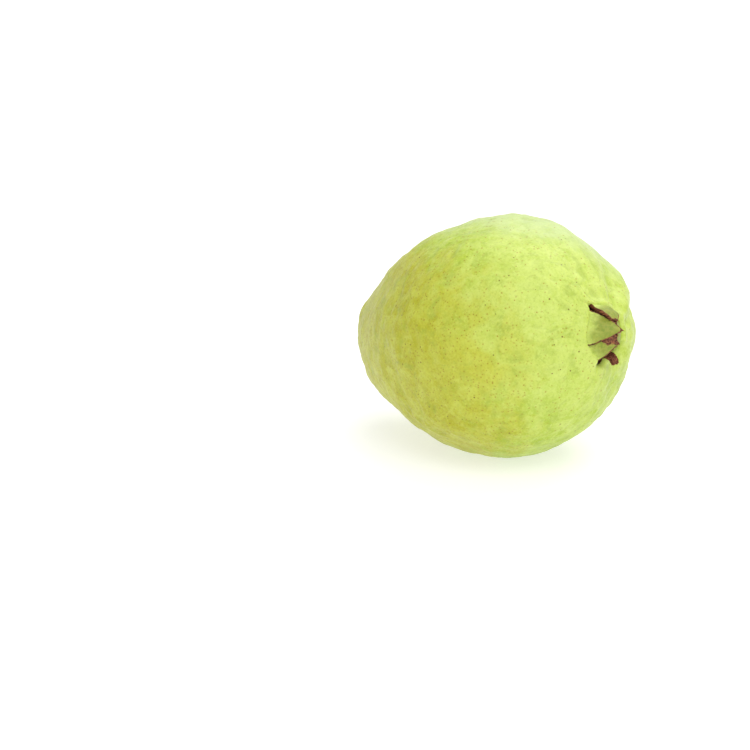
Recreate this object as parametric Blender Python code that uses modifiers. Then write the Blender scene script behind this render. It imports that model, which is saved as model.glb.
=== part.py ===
"""A whole guava as picked, lying on its side on a table.

The fruit is one solid of revolution with the lumps, lobes and dimple of the real skin. Its flower end
carries the calyx, a rim with five dry sepals folded over the flower's dried stamens, and its other end
has a shallow dimple with the short cut stalk. Units are metres, +Z is up, and the origin is the point of
the table under the fruit's centre of weight, on the small flat spot where it rests.
"""

import math
import random

import bmesh
import bpy
import numpy as np
from mathutils import Matrix, Vector, noise

MM = 0.001
GAP = 0.3 * MM  # between two pieces that touch
CLEAR = 5.0 * MM  # how far a cutter reaches out of the fruit

# The fruit, with its long axis along Z and the calyx at the top
HALF_LENGTH = 50.5 * MM
GIRTH_RADIUS = 36.0 * MM
TAPER = 0.25  # how much wider the calyx end is than the stalk end
BELLY = -0.11  # how much both ends draw in
RINGS = 48
SEGMENTS = 72

# The folds of the skin between the lobes round the calyx: for each its place round the axis and its
# width in degrees, and its depth in millimetres. The one below zero is a ridge.
FOLDS = (
    (22, 18, 1.6),
    (99, 7, 0.8),
    (115, 12, -1.3),
    (138, 13, 1.4),
    (182, 14, 1.2),
    (240, 17, 0.2),
    (312, 15, 0.6),
)

# The low swelling round the calyx, the sink in its middle, and the dimple and shoulders at the stalk
COLLAR_RADIUS = 13.0 * MM
COLLAR_WIDTH = 5.0 * MM
COLLAR_HEIGHT = 1.1 * MM
END_SINK = 1.6 * MM
END_RADIUS = 9.0 * MM
DIMPLE_DEPTH = 4.2 * MM
DIMPLE_RADIUS = 6.0 * MM
SHOULDER_RADIUS = 14.0 * MM
SHOULDER_WIDTH = 6.0 * MM
SHOULDER_HEIGHT = 0.7 * MM

# Size and height of the soft lumps of the skin
LUMPS = ((17.0 * MM, 1.0 * MM), (8.0 * MM, 0.45 * MM))

# How it lies: the calyx end is raised, because the narrow stalk end sinks
LEAN = math.radians(13.0)
SPOT_DEPTH = 0.8 * MM

# The calyx
CALYX_RADIUS = 8.6 * MM
CUP_RADIUS = 6.6 * MM
CALYX_FLOOR = HALF_LENGTH - 5.2 * MM
CUP_FLOOR = CALYX_FLOOR + 1.8 * MM
CALYX_RIM = HALF_LENGTH - 1.0 * MM
CALYX_SIDES = 48
SEPAL_THICKNESS = 0.9 * MM
SEPAL_SUNK = 1.3 * MM  # depth of a sepal's root in the rim
# For each sepal: its place round the rim in degrees, its width and length in millimetres, the lean
# inwards of its root and of its tip in degrees, the sideways slant of its tip in millimetres and the
# share of its width that the tip keeps. The fourth is broken short and curls back outwards.
SEPALS = (
    (243, 10.0, 12.4, 8, 72, 0.0, 0.06),
    (168, 10.0, 9.0, 10, 80, -0.6, 0.12),
    (306, 9.4, 9.8, 8, 56, 2.0, 0.10),
    (351, 4.4, 7.0, 60, -110, 0.0, 0.70),
    (92, 9.0, 9.5, 16, 88, 0.4, 0.10),
)

# The dried stamens in the calyx
STAMENS = 22
STAMEN_WIDTH = 0.9 * MM
STAMEN_LENGTHS = (1.8 * MM, 2.6 * MM)
STAMEN_LEANS = (0.1, 0.5)
STAMEN_SUNK = 0.6 * MM
STYLE_LENGTH = 4.2 * MM
CUSHION_HEIGHT = 0.9 * MM
GOLDEN_TURN = math.tau * 0.382

# The stalk
STALK_RADIUS = 1.9 * MM
STALK_SHOWN = 4.2 * MM
STALK_SUNK = 3.0 * MM
STALK_FOOT = DIMPLE_DEPTH - HALF_LENGTH  # the bottom of the dimple, where the stalk comes out
STALK_RIBS = 5
STALK_SIDES = 20


def clear_scene():
    for obj in list(bpy.data.objects):
        bpy.data.objects.remove(obj, do_unlink=True)


def new_collection(name):
    made = bpy.data.collections.new(name)
    bpy.context.scene.collection.children.link(made)
    return made


def new_object(name, mesh, collection):
    obj = bpy.data.objects.new(name, mesh)
    collection.objects.link(obj)
    return obj


def plain_material(name, colour, roughness):
    material = bpy.data.materials.new(name)
    material.use_nodes = True
    shader = material.node_tree.nodes["Principled BSDF"]
    shader.inputs["Base Color"].default_value = (*colour, 1.0)
    shader.inputs["Roughness"].default_value = roughness
    shader.inputs["Metallic"].default_value = 0.0
    return material


def evaluated_mesh(obj):
    """The object's mesh with its modifiers applied."""
    bpy.context.view_layer.update()
    graph = bpy.context.evaluated_depsgraph_get()
    return bpy.data.meshes.new_from_object(obj.evaluated_get(graph))


def apply_modifiers(obj):
    mesh = evaluated_mesh(obj)
    obj.modifiers.clear()
    obj.data = mesh


def turned(name, profile, steps, collection):
    """A solid turned about Z from (radius, height) points that run down its outer side."""
    mesh = bpy.data.meshes.new(name)
    points = [(radius, 0.0, height) for radius, height in profile]
    mesh.from_pydata(points, [(i, i + 1) for i in range(len(points) - 1)], [])
    obj = new_object(name, mesh, collection)
    screw = obj.modifiers.new("turn", "SCREW")
    screw.steps = screw.render_steps = steps
    screw.use_merge_vertices = True
    screw.merge_threshold = 0.00001
    screw.use_smooth_shade = True
    apply_modifiers(obj)
    return obj


def bump(distance, width):
    """A smooth hill, 1 at no distance and near 0 beyond twice its width."""
    return math.exp(-((distance / width) ** 2))


def ramp(value, low, high):
    """0 below low, 1 above high and smooth between."""
    t = min(1.0, max(0.0, (value - low) / (high - low)))
    return t * t * (3.0 - 2.0 * t)


def turn_between(turn, place):
    """Degrees from a place round the axis to a turn, from -180 to 180."""
    return (math.degrees(turn) - place + 180.0) % 360.0 - 180.0


def body_radius(along):
    """Radius of the plain egg at a place along its axis, from -1 at the stalk to 1 at the calyx."""
    return GIRTH_RADIUS * math.sqrt(max(0.0, 1.0 - along**2)) * (1.0 + TAPER * along + BELLY * along**2)


def calyx_relief(reach, turn, along):
    """Height of the collar and folds round the calyx, and the sink in their middle."""
    if along <= 0.0:
        return 0.0
    near = ramp(along, 0.25, 0.9) * ramp(reach, 5.0 * MM, 13.0 * MM)
    folds = sum(depth * bump(turn_between(turn, place), width) for place, width, depth in FOLDS)
    collar = COLLAR_HEIGHT * bump(reach - COLLAR_RADIUS, COLLAR_WIDTH)
    return collar - END_SINK * bump(reach, END_RADIUS) - folds * MM * near


def stalk_relief(reach, turn, along):
    """Depth of the dimple at the stalk and height of the uneven shoulders round it."""
    if along >= 0.0:
        return 0.0
    shoulders = 0.6 + 0.4 * math.cos(3.0 * turn + 0.8) + 0.25 * math.cos(5.0 * turn)
    ring = SHOULDER_HEIGHT * shoulders * bump(reach - SHOULDER_RADIUS, SHOULDER_WIDTH)
    return ring - DIMPLE_DEPTH * bump(reach, DIMPLE_RADIUS)


def skin_relief(point):
    """How far the skin stands out of the plain egg at a point of it."""
    reach = math.hypot(point.x, point.y)
    turn = math.atan2(point.y, point.x)
    along = point.z / HALF_LENGTH
    rolling = sum(height * noise.noise(point / size) for size, height in LUMPS)
    return rolling + calyx_relief(reach, turn, along) + stalk_relief(reach, turn, along)


def attitude():
    """Rotation that lays the fruit down: its axis along +X with the calyx end raised."""
    return Matrix.Rotation(math.pi / 2.0 - LEAN, 4, "Y")


def centre_of_volume(mesh):
    mesh.calc_loop_triangles()
    points = np.array([vertex.co for vertex in mesh.vertices])
    a, b, c = (points[[t.vertices[k] for t in mesh.loop_triangles]] for k in range(3))
    volumes = np.einsum("ij,ij->i", a, np.cross(b, c))
    return Vector((((a + b + c) / 4.0) * volumes[:, None]).sum(axis=0) / volumes.sum())


def cut_flat_spot(mesh, down):
    """Cuts the lowest part of the lying fruit flat, and returns the depth of the cut along down."""
    depth = max(vertex.co.dot(down) for vertex in mesh.vertices) - SPOT_DEPTH
    cut = bmesh.new()
    cut.from_mesh(mesh)
    everything = cut.verts[:] + cut.edges[:] + cut.faces[:]
    bmesh.ops.bisect_plane(cut, geom=everything, plane_co=down * depth, plane_no=down, clear_outer=True)
    rim = [edge for edge in cut.edges if edge.is_boundary]
    bmesh.ops.holes_fill(cut, edges=rim, sides=0)
    bmesh.ops.recalc_face_normals(cut, faces=cut.faces[:])
    cut.to_mesh(mesh)
    cut.free()
    return depth


def make_fruit(parts):
    """The fruit's body, in its own frame, with its flat spot cut. Returns it and its matrix."""
    steps = [math.pi * i / (RINGS - 1) for i in range(RINGS)]
    profile = [(body_radius(math.cos(s)), HALF_LENGTH * math.cos(s)) for s in steps]
    profile[0] = (0.0, HALF_LENGTH)
    profile[-1] = (0.0, -HALF_LENGTH)
    fruit = turned("fruit", profile, SEGMENTS, parts)
    raised = [v.co + v.normal * skin_relief(v.co) for v in fruit.data.vertices]
    for vertex, place in zip(fruit.data.vertices, raised):
        vertex.co = place
    down = attitude().to_3x3().inverted() @ Vector((0.0, 0.0, -1.0))
    centre = attitude() @ centre_of_volume(fruit.data)
    depth = cut_flat_spot(fruit.data, down)
    place = Matrix.Translation((-centre.x, -centre.y, depth)) @ attitude()
    return fruit, place


def tapered_rod(name, foot_radius, end_radius, sides, low, high, collection):
    """A closed round rod along Z between two heights."""
    rod = bmesh.new()
    middle = Matrix.Translation((0.0, 0.0, (low + high) / 2.0))
    size = {"radius1": foot_radius, "radius2": end_radius, "depth": high - low}
    bmesh.ops.create_cone(rod, cap_ends=True, segments=sides, matrix=middle, **size)
    mesh = bpy.data.meshes.new(name)
    rod.to_mesh(mesh)
    rod.free()
    return new_object(name, mesh, collection)


def cut_pocket(fruit, name, radius, low, high, cutters):
    """Cuts a round pocket along the fruit's axis, between two heights."""
    cutter = tapered_rod(name, radius, radius, CALYX_SIDES, low, high, cutters)
    cutter.hide_render = True
    cutter.display_type = "WIRE"
    boolean = fruit.modifiers.new(name, "BOOLEAN")
    boolean.operation = "DIFFERENCE"
    boolean.solver = "EXACT"
    boolean.object = cutter
    return cutter


def fuse(base, pieces):
    """Joins the objects of a collection to base in one Boolean union, and removes them."""
    union = base.modifiers.new("join", "BOOLEAN")
    union.operation = "UNION"
    union.solver = "EXACT"
    union.operand_type = "COLLECTION"
    union.collection = pieces
    apply_modifiers(base)
    for obj in list(pieces.objects):
        bpy.data.objects.remove(obj, do_unlink=True)
    bpy.data.collections.remove(pieces)


def sepal_spine(length, root_lean, tip_lean, share):
    """(distance inwards from the root, height above it) at a share of a sepal's length."""
    steps = 24
    inwards = 0.0
    height = 0.0
    for i in range(steps):
        lean = math.radians(root_lean + (tip_lean - root_lean) * share * (i + 0.5) / steps)
        inwards += math.sin(lean) * length * share / steps
        height += math.cos(lean) * length * share / steps
    return inwards, height


def make_sepal(name, sepal, collection):
    """One sepal: a pointed blade that rises from the rim and folds in over the calyx."""
    place, width, length, root_lean, tip_lean, slant, blunt = sepal
    blade = bmesh.new()
    bmesh.ops.create_grid(blade, x_segments=6, y_segments=9, size=1.0)
    root = (CALYX_RADIUS + CUP_RADIUS) / 2.0
    for vertex in blade.verts:
        across = vertex.co.x
        share = (vertex.co.y + 1.0) / 2.0
        inwards, height = sepal_spine(length * MM, root_lean, tip_lean, share)
        side = across * width * MM / 2.0 * (1.0 - (1.0 - blunt) * share**1.6)
        curve = side**2 / (2.0 * root) * (1.0 - 0.5 * share)
        shift = slant * MM * share**2
        vertex.co = Vector((root - inwards - curve, side + shift, CALYX_RIM - SEPAL_SUNK + height))
    mesh = bpy.data.meshes.new(name)
    bmesh.ops.recalc_face_normals(blade, faces=blade.faces[:])
    blade.to_mesh(mesh)
    blade.free()
    mesh.transform(Matrix.Rotation(math.radians(place), 4, "Z"))
    obj = new_object(name, mesh, collection)
    solidify = obj.modifiers.new("thickness", "SOLIDIFY")
    solidify.thickness = SEPAL_THICKNESS
    solidify.offset = 0.0
    solidify.use_even_offset = True
    apply_modifiers(obj)


def make_calyx(parts):
    """The rim at the flower end with its five sepals, in one body."""
    profile = (
        (0.0, CUP_FLOOR),
        (CUP_RADIUS, CUP_FLOOR),
        (CUP_RADIUS, CALYX_RIM - 0.5 * MM),
        (CUP_RADIUS + 0.5 * MM, CALYX_RIM),
        (CALYX_RADIUS - 0.6 * MM, CALYX_RIM - 0.1 * MM),
        (CALYX_RADIUS, CALYX_RIM - 0.8 * MM),
        (CALYX_RADIUS, CALYX_FLOOR),
        (0.0, CALYX_FLOOR),
    )
    calyx = turned("calyx", profile, CALYX_SIDES, parts)
    sepals = new_collection("sepals")
    for number, sepal in enumerate(SEPALS, start=1):
        make_sepal(f"sepal_{number}", sepal, sepals)
    fuse(calyx, sepals)
    return calyx


def stub_rod(name, length, collection):
    return tapered_rod(name, STAMEN_WIDTH / 2.0, STAMEN_WIDTH / 4.0, 5, 0.0, length, collection)


def make_stamens(parts):
    """The dried remains in the calyx: a low cushion with the stubs of stamens and the style."""
    floor = CUP_FLOOR + GAP
    top = floor + CUSHION_HEIGHT
    edge = CUP_RADIUS - GAP
    low = top - 0.5 * MM
    profile = ((0.0, top + 0.3 * MM), (edge * 0.6, top), (edge, low), (edge, floor), (0.0, floor))
    stamens = turned("dried_stamens", profile, CALYX_SIDES // 2, parts)
    stubs = new_collection("stubs")
    draw = random.Random(11)
    for number in range(STAMENS):
        reach = edge * (0.3 + 0.4 * math.sqrt(number / STAMENS))
        foot = Matrix.Translation((reach, 0.0, top - STAMEN_SUNK))
        place = Matrix.Rotation(number * GOLDEN_TURN, 4, "Z") @ foot
        stub = stub_rod(f"stub_{number}", draw.uniform(*STAMEN_LENGTHS), stubs)
        stub.data.transform(place @ Matrix.Rotation(-draw.uniform(*STAMEN_LEANS), 4, "Y"))
    style = stub_rod("style", STYLE_LENGTH, stubs)
    style.data.transform(Matrix.Translation((0.0, 0.0, top - STAMEN_SUNK)))
    fuse(stamens, stubs)
    return stamens


def make_stalk(parts):
    """The short woody stalk, ribbed along its length and cut off slightly aslant."""
    root = STALK_FOOT + STALK_SUNK
    end = STALK_FOOT - STALK_SHOWN
    profile = (
        (0.0, root),
        (STALK_RADIUS * 0.95, root),
        (STALK_RADIUS * 0.95, STALK_FOOT + 0.4 * MM),
        (STALK_RADIUS * 0.9, STALK_FOOT - 1.4 * MM),
        (STALK_RADIUS * 0.96, STALK_FOOT - 2.8 * MM),
        (STALK_RADIUS * 1.1, end + 0.5 * MM),
        (STALK_RADIUS * 0.98, end),
        (0.0, end),
    )
    stalk = turned("stalk", profile, STALK_SIDES, parts)
    for vertex in stalk.data.vertices:
        below = max(0.0, STALK_FOOT - vertex.co.z) / STALK_SHOWN
        turn = math.atan2(vertex.co.y, vertex.co.x)
        rib = 1.0 + 0.06 * math.cos(STALK_RIBS * turn) * min(1.0, below * 3.0)
        vertex.co.x *= rib
        vertex.co.y *= rib
        vertex.co.z += 0.22 * vertex.co.x * below**2
    return stalk


def dress(obj, colour, roughness):
    obj.data.materials.clear()
    obj.data.materials.append(plain_material(f"{obj.name}_finish", colour, roughness))
    obj.data.shade_smooth()
    obj.data.set_sharp_from_angle(angle=math.radians(40.0))


def main():
    clear_scene()
    parts = new_collection("guava")
    cutters = new_collection("cutters")
    fruit, place = make_fruit(parts)
    calyx = make_calyx(parts)
    stamens = make_stamens(parts)
    stalk = make_stalk(parts)
    high = HALF_LENGTH + CLEAR
    stalk_top = STALK_FOOT + STALK_SUNK + GAP
    helpers = (
        cut_pocket(fruit, "calyx_pocket", CALYX_RADIUS + GAP, CALYX_FLOOR - GAP, high, cutters),
        cut_pocket(fruit, "stalk_hole", STALK_RADIUS + GAP, -high, stalk_top, cutters),
    )
    dress(fruit, (0.55, 0.68, 0.16), 0.42)
    dress(calyx, (0.36, 0.38, 0.08), 0.6)
    dress(stamens, (0.13, 0.05, 0.02), 0.85)
    dress(stalk, (0.22, 0.24, 0.06), 0.75)
    lying = bpy.data.objects.new("lying", None)
    parts.objects.link(lying)
    lying.matrix_world = place
    for obj in (fruit, calyx, stamens, stalk, *helpers):
        obj.parent = lying


main()
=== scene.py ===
# %% [markdown]
# A whole guava, lying on its side
#
# A ripe-green guava is an egg-shaped fruit. One end still carries the calyx, five leathery sepals
# folded over the dried flower, and the other has a stub of stalk in a shallow dimple. Its skin is the
# hard part to make: it is satin, rolls in soft lumps, creases into fine wrinkles, and is sprinkled
# with tiny brown pores.
#
# The solid model of the fruit is loaded first and never changed. Every piece made here is a finer
# version of one of its solids, built in the same place and at the same size. Blender's vector noise
# starts from the clock unless it is given a seed, so it gets one, and every run is the same.

# %% Load the solid model
import math
import random

import bmesh
import bpy
from mathutils import Matrix, Vector, noise


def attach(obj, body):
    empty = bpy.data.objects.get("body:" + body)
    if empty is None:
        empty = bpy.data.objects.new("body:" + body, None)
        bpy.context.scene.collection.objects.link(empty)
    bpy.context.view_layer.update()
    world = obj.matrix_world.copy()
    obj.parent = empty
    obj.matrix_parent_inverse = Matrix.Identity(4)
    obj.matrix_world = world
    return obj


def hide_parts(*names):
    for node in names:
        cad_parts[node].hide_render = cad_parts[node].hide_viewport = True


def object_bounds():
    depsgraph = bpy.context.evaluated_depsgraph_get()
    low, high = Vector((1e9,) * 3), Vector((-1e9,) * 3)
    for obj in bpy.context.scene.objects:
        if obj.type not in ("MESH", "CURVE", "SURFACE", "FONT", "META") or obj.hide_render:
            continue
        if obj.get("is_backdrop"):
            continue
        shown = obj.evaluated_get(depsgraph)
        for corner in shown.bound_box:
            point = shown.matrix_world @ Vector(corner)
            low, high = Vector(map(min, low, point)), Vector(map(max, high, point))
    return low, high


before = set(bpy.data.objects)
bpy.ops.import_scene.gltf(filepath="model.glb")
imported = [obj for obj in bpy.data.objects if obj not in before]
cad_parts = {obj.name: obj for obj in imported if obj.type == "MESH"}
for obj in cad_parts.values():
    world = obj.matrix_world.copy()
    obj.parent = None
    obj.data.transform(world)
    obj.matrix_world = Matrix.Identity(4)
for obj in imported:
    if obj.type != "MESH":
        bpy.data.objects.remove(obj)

NOISE_SEED = 11
noise.seed_set(NOISE_SEED)
SOLID_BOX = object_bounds()
MM = 0.001
print("solid pieces:", sorted(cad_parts))

# %% [markdown]
# Where the fruit lies
#
# A shape with an axis is easiest to make upright and to tip over at the end. So each piece is built
# with the fruit's axis along its own Z, the calyx at the top, and then gets one matrix that lays it
# down. The lean of 13 degrees is how the real fruit comes to rest, because the stalk end is narrower
# than the calyx end. The matrix is worked out from the solid calyx: the middle of its round foot is
# on the axis, at a known height.

# %% Find the middle of the fruit's axis in the solid model
HALF_LENGTH = 50.5 * MM
LEAN = math.radians(13.0)
CALYX_FOOT = HALF_LENGTH - 5.2 * MM
SAME_HEIGHT = 0.05 * MM
LAID_DOWN = Matrix.Rotation(math.pi / 2.0 - LEAN, 4, "Y")
AXIS = LAID_DOWN @ Vector((0.0, 0.0, 1.0))


def foot_middle(node):
    """Middle of the flat end of a node that lies furthest back along the axis."""
    points = {tuple(round(c, 6) for c in vertex.co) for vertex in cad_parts[node].data.vertices}
    points = [Vector(point) for point in points]
    lowest = min(point.dot(AXIS) for point in points)
    ring = [point for point in points if point.dot(AXIS) - lowest < SAME_HEIGHT]
    return sum(ring, Vector()) / len(ring)


FRUIT_MIDDLE = foot_middle("calyx") - AXIS * CALYX_FOOT
PLACE = Matrix.Translation(FRUIT_MIDDLE) @ LAID_DOWN
print("middle of the axis, in mm:", [round(c / MM, 2) for c in FRUIT_MIDDLE])

# %% [markdown]
# The plain egg
#
# The body is a formula: an ellipse whose radius is multiplied by a curve that fattens the calyx end
# and draws both ends in a little. A formula gives the radius at any height, so the skin's profile
# and its normals both come from it.

# %% The plain egg
GIRTH_RADIUS = 36.0 * MM
TAPER = 0.25
BELLY = -0.11


def egg_radius(along):
    """Radius of the plain egg, from along -1 at the stalk to 1 at the calyx."""
    return GIRTH_RADIUS * math.sqrt(max(0.0, 1.0 - along**2)) * (1.0 + TAPER * along + BELLY * along**2)


widest = max(egg_radius(step / 50.0) for step in range(-50, 51))
print("egg, in mm:", round(2.0 * HALF_LENGTH / MM), "long and", round(2.0 * widest / MM, 1), "wide")

# %% [markdown]
# Soft hills and soft steps
#
# Nothing on a fruit has a hard edge, so its forms are made of two soft shapes: a hill that fades out
# on both sides, and a step that starts and ends gently. Places round the axis are given in degrees,
# as on a dial, and a third helper measures how far a turn is from a place.

# %% Helpers for soft forms
def bump(distance, width):
    """A smooth hill, 1 at no distance and near 0 beyond twice its width."""
    return math.exp(-((distance / width) ** 2))


def ramp(value, low, high):
    """0 below low, 1 above high and smooth between."""
    t = min(1.0, max(0.0, (value - low) / (high - low)))
    return t * t * (3.0 - 2.0 * t)


def degrees_between(turn, place):
    """Degrees from a place round the axis to a turn in radians, from -180 to 180."""
    return (math.degrees(turn) - place + 180.0) % 360.0 - 180.0


print("soft step at a quarter, a half and three quarters:", [ramp(t, 0.0, 1.0) for t in (0.25, 0.5, 0.75)])

# %% [markdown]
# Large forms
#
# On top of the egg come the forms that a hand would feel: soft lumps, a low collar with folds round
# the calyx, and a dimple with shoulders at the stalk. They are added as a height along the surface
# normal. Smooth noise suits the lumps, and hills of a chosen place and width suit the folds. Each
# fold below is its place and its width in degrees and its depth in millimetres, and a depth below
# 0 makes a ridge. Each kind of lump is its size and its height.

# %% Large forms
FOLDS = (
    (22, 18, 1.6),
    (99, 7, 0.8),
    (115, 12, -1.3),
    (138, 13, 1.4),
    (182, 14, 1.2),
    (240, 17, 0.2),
    (312, 15, 0.6),
)
LUMPS = ((17.0 * MM, 1.0 * MM), (8.0 * MM, 0.45 * MM))
COLLAR_REACH = 13.0 * MM
COLLAR_HEIGHT = 1.1 * MM
CALYX_SINK = 1.6 * MM
SHOULDER_REACH = 14.0 * MM
SHOULDER_HEIGHT = 0.7 * MM
DIMPLE_DEPTH = 4.2 * MM


def calyx_forms(reach, turn, along):
    """Collar, folds and sink round the calyx."""
    near = ramp(along, 0.25, 0.9) * ramp(reach, 5.0 * MM, COLLAR_REACH)
    folds = sum(depth * bump(degrees_between(turn, place), width) for place, width, depth in FOLDS)
    collar = COLLAR_HEIGHT * bump(reach - COLLAR_REACH, 5.0 * MM)
    return collar - CALYX_SINK * bump(reach, 9.0 * MM) - folds * MM * near


def stalk_forms(reach, turn):
    """Dimple at the stalk, and the uneven shoulders round it."""
    shoulders = 0.6 + 0.4 * math.cos(3.0 * turn + 0.8) + 0.25 * math.cos(5.0 * turn)
    ring = SHOULDER_HEIGHT * shoulders * bump(reach - SHOULDER_REACH, 6.0 * MM)
    return ring - DIMPLE_DEPTH * bump(reach, 6.0 * MM)


def large_forms(point):
    """Height of everything that can be felt as a form, at a point of the plain egg."""
    reach = math.hypot(point.x, point.y)
    turn = math.atan2(point.y, point.x)
    along = point.z / HALF_LENGTH
    height = sum(tall * noise.noise(point / size) for size, tall in LUMPS)
    if along > 0.0:
        return height + calyx_forms(reach, turn, along)
    return height + stalk_forms(reach, turn)


GIRTH = [Vector((math.cos(turn), math.sin(turn), 0.0)) * GIRTH_RADIUS for turn in range(6)]
print("large forms round the girth, in mm:", [round(large_forms(point) / MM, 2) for point in GIRTH])

# %% [markdown]
# Wrinkles
#
# Up close the skin is never smooth. It has shallow creases between soft pillows, a few millimetres
# apart, and fine drawn folds that run from the calyx and from the stalk like the folds of a tied
# bag. Creases come from folding a noise at zero, which turns its smooth crossings into valleys. The
# drawn folds come from a noise that is squeezed round the fruit and stretched along it. A slow noise
# makes some regions quieter than others.

# %% Fine relief of the skin
PILLOWS = 0.25 * MM
PILLOW_SIZE = 3.4 * MM
FINE_SIZE = 2.1 * MM
CREASES = 0.13 * MM
CREASE_SIZE = 4.6 * MM
CREASE_SHARPNESS = 3.2
WARP = 1.6 * MM
WARP_SIZE = 6.0 * MM
DRAWN = 0.22 * MM
QUIET_SIZE = 22.0 * MM


def pillows(point):
    """Soft pillows with creases between them."""
    warped = point + WARP * noise.noise_vector(point / WARP_SIZE)
    crease = 1.0 - min(1.0, abs(noise.noise(warped / CREASE_SIZE)) * CREASE_SHARPNESS)
    fine = noise.noise(warped / FINE_SIZE)
    return PILLOWS * (noise.noise(warped / PILLOW_SIZE) + 0.5 * fine) - CREASES * crease**2


def drawn_folds(point, reach, turn, along):
    """Fine folds that run to the calyx and to the stalk."""
    wave = 0.25 * noise.noise(point / (9.0 * MM))
    round_the_axis = Vector((math.cos(turn + wave), math.sin(turn + wave), 0.0))
    fold = noise.noise(round_the_axis * 9.0 + Vector((0.0, 0.0, along * 1.6)))
    finer = noise.noise(round_the_axis * 21.0 + Vector((5.0, 0.0, along * 3.0)))
    calyx_end = ramp(along, 0.45, 0.93) * ramp(reach, 7.0 * MM, 12.0 * MM)
    stalk_end = ramp(-along, 0.6, 0.95) * ramp(reach, 2.0 * MM, 5.0 * MM)
    return DRAWN * (fold + 0.5 * finer) * (calyx_end + stalk_end)


def fine_forms(point):
    """Height of the whole fine relief at a point of the plain egg."""
    reach = math.hypot(point.x, point.y)
    turn = math.atan2(point.y, point.x)
    along = point.z / HALF_LENGTH
    quiet = 0.55 + 0.45 * ramp(noise.noise(point / QUIET_SIZE), -0.35, 0.35)
    return quiet * pillows(point) + drawn_folds(point, reach, turn, along)


print("fine relief round the girth, in mm:", [round(fine_forms(point) / MM, 2) for point in GIRTH])

# %% [markdown]
# Places of the sepals
#
# The sepals' places are needed for both the skin and the sepals, so they are set first. Each sepal
# is a short list of what a botanist would measure, in degrees and millimetres: its place round the
# rim, the radius it is rooted at, how much further out its two corners are, its width, length and
# thickness, how far it leans inwards at its root and at its tip, how far its tip slants sideways, how
# blunt it is and how full its sides are, how far its left edge is tucked under its neighbour, how
# wide its two dry margins are at the tip, and how dry it is. One is broken short and leans outwards.

# %% Measure the sepals
SEPALS = (
    {"place": 244, "root": 7.3, "corners": (2.3, 0.9), "width": 11.3, "length": 12.4, "thick": 0.9,
     "leans": (8, 72), "slant": -0.8, "blunt": 0.05, "taper": 1.5, "tuck": 1.7, "margins": (0.5, 0.5),
     "dry": 0.0},
    {"place": 166, "root": 8.4, "corners": (0.0, 1.5), "width": 10.6, "length": 8.9, "thick": 1.2,
     "leans": (2, 62), "slant": 0.9, "blunt": 0.24, "taper": 1.6, "tuck": 0.8, "margins": (0.4, 0.3),
     "dry": 0.0},
    {"place": 302, "root": 7.5, "corners": (-1.7, 0.6), "width": 8.6, "length": 10.6, "thick": 1.4,
     "leans": (6, 56), "slant": 0.7, "blunt": 0.24, "taper": 1.3, "tuck": 2.6, "margins": (3.6, 0.35),
     "dry": 0.0},
    {"place": 7, "root": 6.8, "corners": (0.0, 0.0), "width": 2.9, "length": 6.0, "thick": 1.3,
     "leans": (30, -95), "slant": 0.2, "blunt": 0.8, "taper": 1.6, "tuck": 0.0, "margins": (1.0, 1.0),
     "dry": 1.0},
    {"place": 92, "root": 7.8, "corners": (0.0, 0.0), "width": 9.2, "length": 9.6, "thick": 1.2,
     "leans": (20, 84), "slant": -1.4, "blunt": 0.4, "taper": 1.6, "tuck": 0.8, "margins": (0.8, 0.8),
     "dry": 0.2},
)


def corner_of(sepal, side):
    """How much further out a sepal's left corner is, for a side below 0, or its right one."""
    return sepal["corners"][0 if side < 0.0 else 1] * MM


print("sepals stand at, in degrees:", [sepal["place"] for sepal in SEPALS])

# %% [markdown]
# The calyx rim
#
# The flesh swells a little where each sepal grows out of it, and inside the ring of sepals it drops
# into a small cup. Between two sepals the ring is split, and the split runs out into the flesh. So
# the rim asks at every turn how much sepal stands there, and how far out. Each split below is its
# place and width in degrees, and the radius it ends at and its depth in millimetres.

# %% The rim round the sepals
LIP_RADIUS = 7.3 * MM
LIP_SWELL = 1.9 * MM
LIP_WIDTH = 4.0 * MM
SPLITS = (
    (199, 7, 10.4, 2.6),
    (276, 7, 7.6, 0.8),
    (345, 10, 10.0, 3.4),
    (32, 7, 8.8, 1.2),
    (58, 7, 8.8, 1.2),
    (130, 7, 8.8, 1.0),
)
SPLIT_FADE = 2.4


def rim_at(turn):
    """How much of the rim is sepal at a turn, 0 to 1, and the radius of the sepals' outer face."""
    covers = []
    faces = []
    for sepal in SEPALS:
        half = math.degrees(sepal["width"] / 2.0 / sepal["root"])
        away = degrees_between(turn, sepal["place"])
        corner = corner_of(sepal, away) * min(1.0, abs(away) / half) ** 2
        covers.append(1.0 - ramp(abs(away), half - 8.0, half + 3.0))
        faces.append((sepal["root"] + sepal["thick"] / 2.0) * MM + corner)
    if sum(covers) == 0.0:
        return 0.0, LIP_RADIUS
    return max(covers), sum(cover * face for cover, face in zip(covers, faces)) / sum(covers)


def split_depth(reach, turn):
    """Depth of the split between two sepals, which fades out at its own reach."""
    depth = 0.0
    for place, width, end, deep in SPLITS:
        across = bump(degrees_between(turn, place), width)
        depth += deep * MM * across * (1.0 - ramp(reach, (end - SPLIT_FADE) * MM, end * MM))
    return depth


def lip_forms(reach, turn):
    """The flesh climbs each sepal's outer face in a hollow curve, and drops into the splits."""
    cover, face = rim_at(turn)
    climb = 1.0 - min(1.0, max(0.0, (reach - face) / LIP_WIDTH))
    return LIP_SWELL * cover * climb**2.6 - split_depth(reach, turn)


covered = sum(rim_at(math.radians(turn))[0] for turn in range(360)) / 360.0
print("share of the rim that is sepal:", round(covered, 2))
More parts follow.
